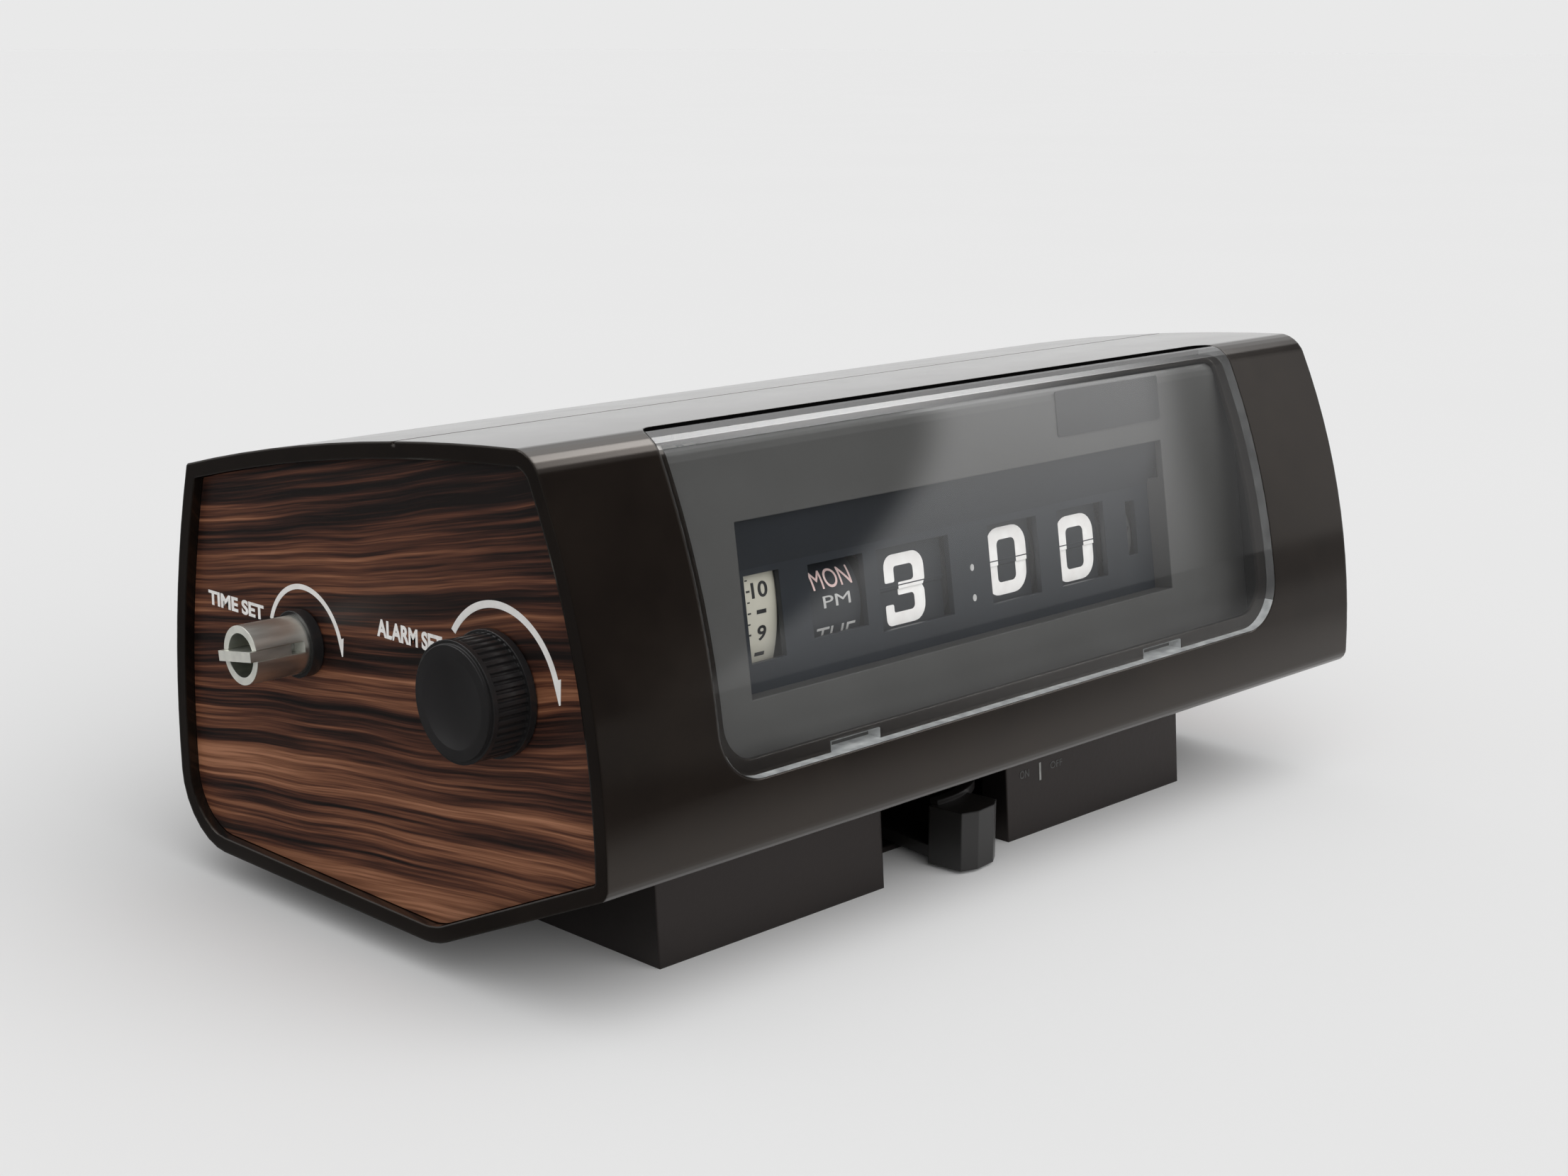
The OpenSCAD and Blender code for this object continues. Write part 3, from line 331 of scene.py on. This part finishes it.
def lens_foot(c, n):
    """Lower cut edge and lugs of the lens."""
    lug = n.z > 0.5 and c.z < LUG_TOP and math.hypot(c.y - LENS_AXIS_Y, c.z - LENS_AXIS_Z) < LUG_R
    return (n.z < -0.5 and c.z < EDGE_TOP) or lug or (abs(n.x) > 0.5 and c.z < SIDE_TOP)


# The lower cut edge, lugs and sides of the lens are pale: partly frosted cut faces, partly painted highlights
refinish("lens", "lens_edge_glint", lens_foot)
refinish("lens", "lens_side_glint", lambda c, n: abs(n.x) > 0.5 and not lens_foot(c, n))
# Painted shade: the fascia's downward faces in the hood above the mask get a darker finish for the shade there
refinish("fascia", "hood", lambda c, n: n.z < -0.2 and c.z > HOOD_W and c.y > HOOD_U, LEAN_M.inverted())
# The veneer is on the outer face of the end panels only
refinish("left_end_panel", "case", lambda c, n: n.x > 0.5)
refinish("right_end_panel", "case", lambda c, n: n.x < -0.5)
# The setting sleeve and its tongue have paler, satin cut faces at the outer end
refinish("time_sleeve", "cut", lambda c, n: n.x < -0.7)
refinish("time_tongue", "cut", lambda c, n: n.x < -0.7)


# Flat printed shapes
def put(name, me, place, mat, body):
    """Adds a print that rides on a body."""
    obj = bpy.data.objects.new(name, me)
    obj.matrix_world = place
    bpy.context.scene.collection.objects.link(obj)
    obj.data.materials.clear()
    obj.data.materials.append(M[mat])
    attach(obj, body)


def rounded(points, step=15.0):
    """Outline through corners given as (x, y) or (x, y, radius)."""
    out = []
    n = len(points)
    for i, p in enumerate(points):
        c = Vector(p[:2])
        r = p[2] if len(p) > 2 else 0.0
        if r <= 0:
            out.append(tuple(c))
            continue
        a = (Vector(points[i - 1][:2]) - c).normalized()
        b = (Vector(points[(i + 1) % n][:2]) - c).normalized()
        half = a.angle(b) / 2
        cut = r / math.tan(half)
        mid = c + (a + b).normalized() * (r / math.sin(half))
        p0, p1 = c + a * cut - mid, c + b * cut - mid
        a0 = math.atan2(p0.y, p0.x)
        turn = (math.atan2(p1.y, p1.x) - a0 + math.pi) % (2 * math.pi) - math.pi
        k = max(2, int(abs(math.degrees(turn)) / step))
        for j in range(k + 1):
            t = a0 + turn * j / k
            out.append((mid.x + r * math.cos(t), mid.y + r * math.sin(t)))
    return out


def box_loop(width, height):
    x, y = width / 2, height / 2
    return [(-x, -y), (x, -y), (x, y), (-x, y)]


def oval_loop(rx, ry, n=28):
    return [(rx * math.cos(2 * math.pi * i / n), ry * math.sin(2 * math.pi * i / n)) for i in range(n)]


def outline_mesh(name, loops, thick):
    """Flat plate of the given loops, with inner loops as holes."""
    cu = bpy.data.curves.new(name + "_draw", "CURVE")
    cu.dimensions = "2D"
    cu.fill_mode = "BOTH"
    cu.extrude = thick * MM / 2
    for loop in loops:
        sp = cu.splines.new("POLY")
        sp.points.add(len(loop) - 1)
        for q, (x, y) in zip(sp.points, loop):
            q.co = (x * MM, y * MM, 0, 1)
        sp.use_cyclic_u = True
    return curve_to_mesh(name, cu)


def curve_to_mesh(name, cu):
    tmp = bpy.data.objects.new(name + "_tmp", cu)
    bpy.context.scene.collection.objects.link(tmp)
    dg = bpy.context.evaluated_depsgraph_get()
    me = bpy.data.meshes.new_from_object(tmp.evaluated_get(dg))
    me.name = name
    bpy.data.objects.remove(tmp)
    bpy.data.curves.remove(cu)
    return me


def word_mesh(name, text, height, thick, width, bold):
    """Word in plain type, scaled to the given height and width."""
    cu = bpy.data.curves.new(name + "_word", "FONT")
    cu.body = text
    cu.size = 1.0
    cu.align_x = "CENTER"
    cu.extrude = 0.001
    cu.offset = bold
    me = curve_to_mesh(name, cu)
    xs, ys, zs = zip(*(v.co for v in me.vertices))
    sx = width * MM / (max(xs) - min(xs))
    sy = height * MM / (max(ys) - min(ys))
    sz = thick * MM / (max(zs) - min(zs))
    cx, cy = (max(xs) + min(xs)) / 2, (max(ys) + min(ys)) / 2
    for v in me.vertices:
        v.co = ((v.co.x - cx) * sx, (v.co.y - cy) * sy, v.co.z * sz)
    return me


def cut_across(bm, y, **dropped):
    geom = bm.verts[:] + bm.edges[:] + bm.faces[:]
    bmesh.ops.bisect_plane(bm, geom=geom, plane_co=(0, y, 0), plane_no=(0, 1, 0), **dropped)


SPLIT_GAP = 0.02


def half_mesh(me, name, upper):
    """Upper or lower half of a numeral, cut at the split."""
    bm = bmesh.new()
    bm.from_mesh(me)
    cut_across(bm, (SPLIT_GAP if upper else -SPLIT_GAP) * MM, clear_inner=upper, clear_outer=not upper)
    half = bpy.data.meshes.new(name)
    bm.to_mesh(half)
    bm.free()
    return half


def trim(me, y):
    """Cuts away what lies below a level of the drawing."""
    bm = bmesh.new()
    bm.from_mesh(me)
    cut_across(bm, y * MM, clear_inner=True)
    bm.to_mesh(me)
    bm.free()


BEND_STEP = 0.5


def fine_mesh(me):
    """Extra edges so that a tall drawing can bend."""
    bm = bmesh.new()
    bm.from_mesh(me)
    ys = [v.co.y for v in bm.verts]
    y = min(ys) + BEND_STEP * MM
    while y < max(ys):
        cut_across(bm, y)
        y += BEND_STEP * MM
    bm.to_mesh(me)
    bm.free()
    return me


H = 6.8
NUMERALS = {
    "0": [rounded([(-6.1, H, 3.7), (6.1, H, 4.0), (6.1, -H, 4.2), (-6.1, -H, 3.2)]),
          rounded([(-2.8, 4.3, 1.1), (2.8, 4.3, 1.2), (2.8, -4.3, 1.2), (-2.8, -4.3, 0.9)])],
    "3": [rounded([(-5.6, H, 2.4), (5.6, H, 3.2), (5.6, 0.9, 1.5), (4.9, 0.0, 0.6), (5.6, -0.9, 1.5),
                   (5.6, -H, 3.4), (-5.6, -H, 1.3), (-5.6, -2.75, 0.4), (-3.3, -2.75, 0.4), (-3.3, -4.4, 0.4),
                   (2.6, -4.4, 1.0), (2.6, -1.2, 0.8), (-1.9, -1.2, 0.3), (-1.9, 1.3, 0.3), (2.5, 1.3, 0.8),
                   (2.5, 4.5, 1.0), (-2.9, 4.5, 0.6), (-2.9, 1.5, 0.4), (-5.6, 1.5, 0.4)])],
    "1": [rounded([(-1.6, H, 0.5), (1.7, H, 0.5), (1.7, -H, 0.5), (-1.6, -H, 0.5), (-1.6, 3.9, 0.2),
                   (-3.4, 3.4, 0.4), (-3.4, 5.4, 0.6)])],
    "4": [rounded([(0.6, H, 0.6), (4.0, H, 0.6), (4.0, -1.6, 0.3), (6.0, -1.6, 0.4), (6.0, -4.1, 0.4),
                   (4.0, -4.1, 0.3), (4.0, -H, 0.5), (0.8, -H, 0.5), (0.8, -4.1, 0.3), (-6.0, -4.1, 0.4),
                   (-6.0, -1.8, 0.6)]),
          [(0.8, -1.6), (0.8, 3.2), (-2.7, -1.6)]],
}
LEAF_T, LEAF_H = 0.24, 8.2
PIN_R = 11.2
# How far the lower leaf lies behind the upper one, and the next leaf behind its pin
LOWER_BACK, NEXT_BACK = 0.3, 0.45
TRIM_GAP = 0.1
# Display, leaves in its pack, place in x, rise of its numerals, numeral shown and numeral coming
DISPLAYS = (("hour", 48, -17.3, 0.0, "3", "4"), ("tens", 36, 13.1, 0.75, "0", "1"), ("units", 40, 35.0, 0.0, "0", "1"))


def numeral_mesh(name, digit, rise):
    return outline_mesh(name, [[(x, y + rise) for x, y in loop] for loop in NUMERALS[digit]], INK_T)


for place, n_leaf, x, rise, shown, coming in DISPLAYS:
    leaf = place + "_leaf"
    pin_u = PIN_R * (1 - math.cos(math.pi / n_leaf))
    pin_w = PIN_R * math.sin(math.pi / n_leaf)
    u_front = pin_u - LEAF_T / 2
    u_back = pin_u + LEAF_T / 2
    u_low = pin_u + LOWER_BACK - LEAF_T / 2
    current = numeral_mesh(place + "_shown", shown, rise)
    upper = half_mesh(current, place + "_u", True)
    put(place + "_numeral_upper", upper, lean_place(x, u_front - INK_T, 0), "digit", leaf)
    lower = half_mesh(current, place + "_l", False)
    put(place + "_numeral_lower", lower, lean_place(x, u_low - INK_T, 0), "digit", "case")
    following = numeral_mesh(place + "_next", coming, rise)
    # The lower half of the next numeral sits upside down on the back of the falling leaf
    lower = half_mesh(following, place + "_nl", False)
    trim(lower, -(LEAF_H - 2 * pin_w - TRIM_GAP))
    flipped = lean_place(x, u_back + INK_T, 2 * pin_w) @ Matrix.Rotation(math.pi, 4, "X")
    put(place + "_numeral_back", lower, flipped, "digit", leaf)
    # Its upper half is on the leaf behind, which leans back a little
    turn = 2 * math.pi * 1.5 / n_leaf
    tilt = math.pi / (n_leaf - 1)
    root_u, root_w = PIN_R * (1 - math.cos(turn)) + NEXT_BACK, PIN_R * math.sin(turn)
    upper = half_mesh(following, place + "_nu", True)
    trim(upper, root_w + TRIM_GAP)
    leaning = (LEAN_M @ Matrix.Translation((x * MM, root_u * MM, root_w * MM)) @ Matrix.Rotation(-tilt, 4, "X")
               @ Matrix.Translation((0, (-LEAF_T / 2 - INK_T) * MM, -root_w * MM)) @ FACE_ON)
    put(place + "_numeral_next", upper, leaning, "digit", "case")

# Colon dots on the mask
MASK_U = -2.24
for i, w in enumerate((1.2, -4.8)):
    dot_me = outline_mesh(f"colon_{i}_me", [oval_loop(0.56, 0.68)], 0.05)
    put(f"colon_{i}", dot_me, lean_place(0.0, MASK_U, w), "dim", "case")


def wrap_on_drum(me, axis, radius, angle0, x):
    """Bends a flat drawing round a drum; the drawing's height runs along the rim."""
    for v in me.vertices:
        a = angle0 + v.co.y / (radius * MM)
        r = radius * MM + v.co.z
        v.co = LEAN_M @ Vector((x * MM + v.co.x, axis[0] * MM - r * math.cos(a), axis[1] * MM + r * math.sin(a)))
    return me


def drum_word(name, text, height, width, axis, radius, along, x, mat, body, bold=0.0):
    me = fine_mesh(word_mesh(name, text, height, INK_T, width, bold))
    wrap_on_drum(me, axis, radius + INK_T, along / radius, x)
    put(name, me, Matrix.Identity(4), mat, body)


# Day drum: seven rows of day and half-day
DAYS = ["MON", "TUE", "WED", "THU", "FRI", "SAT", "SUN"]
PACK_AXIS = (PIN_R, 0)
DAY_R = PIN_R + 1
DAY_ROW = 2 * math.pi * DAY_R / 7
# The shown day is printed pink; the other days take the dim grey as painted shade, for the rows turned away under the
# mask
for i, d in enumerate(DAYS):
    drum_word("day_" + d.lower(), d, 3.8, 10.3, PACK_AXIS, DAY_R, 5.2 - i * DAY_ROW, -37.2,
              "dim" if i else "pink", "days")
    drum_word("half_" + d.lower(), "PM", 2.2, 7.2, PACK_AXIS, DAY_R, 0.9 - i * DAY_ROW, -37.0, "dim", "days")

# Alarm drum: the hours of a whole day with half-hour bars and edge ticks
ALARM_STUD = (10.94, -3.52)
ALARM_ARM, ALARM_ANGLE = 20.7, math.radians(23.3)
ALARM_AXIS = (ALARM_STUD[0] + ALARM_ARM * math.cos(ALARM_ANGLE), ALARM_STUD[1] + ALARM_ARM * math.sin(ALARM_ANGLE))
ALARM_R = 30.6
HOUR_ROW = 2 * math.pi * ALARM_R / 24
# Place along the rim, width, height and place in x
TICKS = ((-HOUR_ROW / 2, 2.4, 0.75, -56.0), (0.0, 0.9, 0.35, -59.0), (-HOUR_ROW / 2, 0.8, 0.3, -59.05),
         (-HOUR_ROW / 4, 0.6, 0.25, -59.1), (-3 * HOUR_ROW / 4, 0.6, 0.25, -59.1))
for i in range(24):
    hour = (10 - i - 1) % 12 + 1
    width, x = (4.0, -56.1) if hour > 9 else (2.2, -55.9)
    along = 1.2 - i * HOUR_ROW
    drum_word(f"alarm_{i}", str(hour), 2.9, width, ALARM_AXIS, ALARM_R, along, x, "ink", "alarm_dial", 0.02)
    for k, (after, tick_w, tick_h, tick_x) in enumerate(TICKS):
        bar = outline_mesh(f"tick_{i}_{k}_me", [box_loop(tick_w, tick_h)], INK_T)
        wrap_on_drum(bar, ALARM_AXIS, ALARM_R + INK_T, (along + after) / ALARM_R, tick_x)
        put(f"tick_{i}_{k}", bar, Matrix.Identity(4), "ink", "alarm_dial")

# Running drum: slanted bars
RUN_X, RUN_R, RUN_BARS = 51.7, PIN_R + 0.43, 10
for i in range(RUN_BARS):
    bar = outline_mesh(f"run_{i}_me", [[(-1.5, -1.8), (-0.9, -1.8), (1.5, 1.8), (0.9, 1.8)]], INK_T)
    wrap_on_drum(fine_mesh(bar), PACK_AXIS, RUN_R, 2 * math.pi * i / RUN_BARS, RUN_X)
    put(f"run_bar_{i}", bar, Matrix.Identity(4), "ink", "units")


# End panel: turning arcs with arrow heads, and plain function words
def arc_band(r, half, a0, a1, n=44):
    angles = [math.radians(a0 + (a1 - a0) * i / n) for i in range(n + 1)]
    outer = [((r + half) * math.cos(a), (r + half) * math.sin(a)) for a in angles]
    inner = [((r - half) * math.cos(a), (r - half) * math.sin(a)) for a in reversed(angles)]
    return outer + inner


BARB, TIP_BLUNT, HEAD_LENGTH = 0.75, 0.4, 0.27


def arrow(r, half, a):
    """Half arrow head that carries on from a clockwise arc, with its barb on the outer side."""
    t = math.radians(a)
    c = Vector((r * math.cos(t), r * math.sin(t)))
    onward = Vector((math.sin(t), -math.cos(t)))
    outward = Vector((math.cos(t), math.sin(t)))
    tip = c + onward * (r * HEAD_LENGTH)
    corners = (c - outward * half, c + outward * (half + BARB), tip - outward * half * TIP_BLUNT, tip - outward * half)
    return [tuple(p) for p in corners]


# Control, place on the panel, radius, half width, first and last angle
ARCS = (("time", (25.34, 52.9), 11.7, 0.5, 161, 19), ("alarm", (-32.5, 55.9), 15.3, 0.65, 146, 19.6))
for name, at, r, half, a0, a1 in ARCS:
    for part_name, loop in (("_arc", arc_band(r, half, a0, a1)), ("_arrow", arrow(r, half, a1))):
        me = outline_mesh(name + part_name + "_me", [loop], PAINT_T)
        put(name + part_name, me, panel_place(*at), "white", "case")


def function_word(name, text, height, width, bold, place, mat):
    put(name, word_mesh(name + "_me", text, height, PAINT_T, width, bold), place, mat, "case")


function_word("time_word", "TIME SET", 2.9, 19.2, 0.035, panel_place(48.6, 57.3), "white")
function_word("alarm_word", "ALARM SET", 3.3, 19.0, 0.035, panel_place(-7.0, 61.2), "white")

# Base index line, switch words and a bare badge plate
put("index_line", outline_mesh("index_me", [box_loop(0.6, 3.8)], PAINT_T), base_place(30.2, 12.9), "grey", "case")
function_word("switch_on", "ON", 1.7, 3.0, 0.01, base_place(25.0, 13.4), "faint")
function_word("switch_off", "OFF", 1.5, 4.0, 0.01, base_place(35.6, 13.4), "faint")
BADGE = rounded([(-17.0, 4.6, 0.5), (17.0, 4.6, 0.5), (17.0, -4.6, 0.5), (-17.0, -4.6, 0.5)])
put("badge_plate", outline_mesh("badge_me", [BADGE], 0.3), lean_place(41.3, -6.84, 28.4), "badge", "case")

# Stage: floor, light, camera
bpy.ops.mesh.primitive_plane_add(size=60.0, location=(0, 0, 0))
floor = bpy.context.object
floor.name = "floor"
floor_mat, ft, floor_out = material("floor_pale")
floor_bsdf = node(ft, "ShaderNodeBsdfPrincipled", Roughness=0.9)
floor_bsdf.inputs["Specular IOR Level"].default_value = 0.0
pale = ramp(ft, noise(ft, (3, 3, 3), 2.0), [(0.3, (0.812, 0.812, 0.812)), (0.7, (0.818, 0.818, 0.818))])
spot = split(ft, ft.nodes.new("ShaderNodeNewGeometry").outputs["Position"])


def floor_step(axis, lo, hi, to=1.0):
    return spread(ft, spot[axis], lo, hi, 0.0, to, "SMOOTHSTEP")


# In reflections the pale floor ends a little way out, to the left and in front of the clock
left_end = maths(ft, "SUBTRACT", 1.0, floor_step("X", -0.13, -0.085))
to_right = maths(ft, "MULTIPLY", floor_step("X", 0.05, 0.25, 0.5),
                 maths(ft, "ADD", 0.4, floor_step("Y", -0.45, -0.25, 0.6)))
front_end = maths(ft, "MULTIPLY", maths(ft, "SUBTRACT", 1.0, floor_step("Y", -0.2, -0.12)),
                  maths(ft, "SUBTRACT", 1.0, to_right))
mirrored = ft.nodes.new("ShaderNodeLightPath").outputs["Is Glossy Ray"]
fade = node(ft, "ShaderNodeMix", data_type="RGBA")
ft.links.new(maths(ft, "MULTIPLY", maths(ft, "MAXIMUM", left_end, front_end), mirrored), fade.inputs["Factor"])
ft.links.new(pale, fade.inputs[6])
fade.inputs[7].default_value = (0.1, 0.1, 0.1, 1.0)
ft.links.new(fade.outputs[2], floor_bsdf.inputs["Base Color"])
ft.links.new(floor_bsdf.outputs["BSDF"], floor_out.inputs["Surface"])
floor.data.materials.append(floor_mat)

world = bpy.data.worlds.new("studio")
bpy.context.scene.world = world
world.use_nodes = True
wn = world.node_tree
wn.nodes.clear()
look = wn.nodes.new("ShaderNodeTexCoord").outputs["Generated"]
BACKDROP = 0.815


def toward(d):
    n = node(wn, "ShaderNodeVectorMath", operation="DOT_PRODUCT")
    wn.links.new(look, n.inputs[0])
    n.inputs[1].default_value = d
    return n.outputs["Value"]


def soft(v, lo, hi):
    return spread(wn, v, lo, hi, shape="SMOOTHSTEP")


def add(*args):
    return maths(wn, "ADD", *args)


def times(*args):
    return maths(wn, "MULTIPLY", *args)


def less(v):
    return maths(wn, "SUBTRACT", 1.0, v)


to_x, to_y, to_z = toward((1, 0, 0)), toward((0, 1, 0)), toward((0, 0, 1))
# Soft light for the floor and shapes: even all round, with a broad bank above the front
bank = soft(toward((-0.1066, -0.7586, 0.6428)), 0.5, 0.95)
dome = add(0.4, times(bank, 1.98))
# Reflections: a pale backdrop behind, a dim room in front, a tall soft panel at the front right and one overhead
behind = soft(to_y, -0.25, 0.35)
panel = times(soft(toward((0.2789, 0.2406, -0.1990)), -0.006, 0.004), less(soft(to_x, 0.798, 0.812)))
panel = times(panel, add(0.45, times(maths(wn, "MAXIMUM", to_z, 0.0), 4.0)))
panel = add(panel, times(soft(to_x, 0.807, 0.822), 0.55))
panel = times(panel, less(soft(to_y, -0.45, -0.2)))
over = soft(toward((0.69, -0.05, 0.722)), 0.975, 0.997)
ceiling = times(soft(to_z, 0.45, 0.8), 1.1)
lamp = soft(toward((-0.72, 0.665, 0.2)), 0.9955, 0.9985)
room = add(add(0.055, ceiling), times(behind, 0.9))
mirror = add(room, add(panel, add(times(over, 6.0), times(lamp, 9.0))))
path = wn.nodes.new("ShaderNodeLightPath")
kind = wn.nodes.new("ShaderNodeMix")
wn.links.new(path.outputs["Is Glossy Ray"], kind.inputs[0])
wn.links.new(dome, kind.inputs[2])
wn.links.new(mirror, kind.inputs[3])
sight = wn.nodes.new("ShaderNodeMix")
wn.links.new(path.outputs["Is Camera Ray"], sight.inputs[0])
wn.links.new(kind.outputs[0], sight.inputs[2])
sight.inputs[3].default_value = BACKDROP
sky = node(wn, "ShaderNodeBackground")
sky.inputs["Color"].default_value = (1.0, 1.0, 1.0, 1.0)
wn.links.new(sight.outputs[0], sky.inputs["Strength"])
world_out = wn.nodes.new("ShaderNodeOutputWorld")
wn.links.new(sky.outputs["Background"], world_out.inputs["Surface"])

# Camera as solved from the photograph
PHOTO_W, FOCAL_PX, SENSOR_W = 2212.0, 3312.0, 36.0
CAM_AT = (-0.34331, -0.33369, 0.16284)
yaw, pitch, roll = math.radians(45.115), math.radians(13.141), math.radians(-0.191)
ahead = Vector((math.sin(yaw) * math.cos(pitch), math.cos(yaw) * math.cos(pitch), -math.sin(pitch)))
level = Vector((math.cos(yaw), -math.sin(yaw), 0))
down = ahead.cross(level)
cam_x = level * math.cos(roll) + down * math.sin(roll)
cam_y = level * math.sin(roll) - down * math.cos(roll)
cam_d = bpy.data.cameras.new("camera")
cam = bpy.data.objects.new("camera", cam_d)
bpy.context.scene.collection.objects.link(cam)
cam.matrix_world = Matrix.Translation(CAM_AT) @ Matrix((cam_x, cam_y, -ahead)).transposed().to_4x4()
cam_d.sensor_fit = "HORIZONTAL"
cam_d.sensor_width = SENSOR_W
cam_d.lens = FOCAL_PX * SENSOR_W / PHOTO_W
cam_d.clip_start, cam_d.clip_end = 0.01, 50.0
bpy.context.scene.camera = cam
bpy.context.scene.view_settings.view_transform = "Standard"
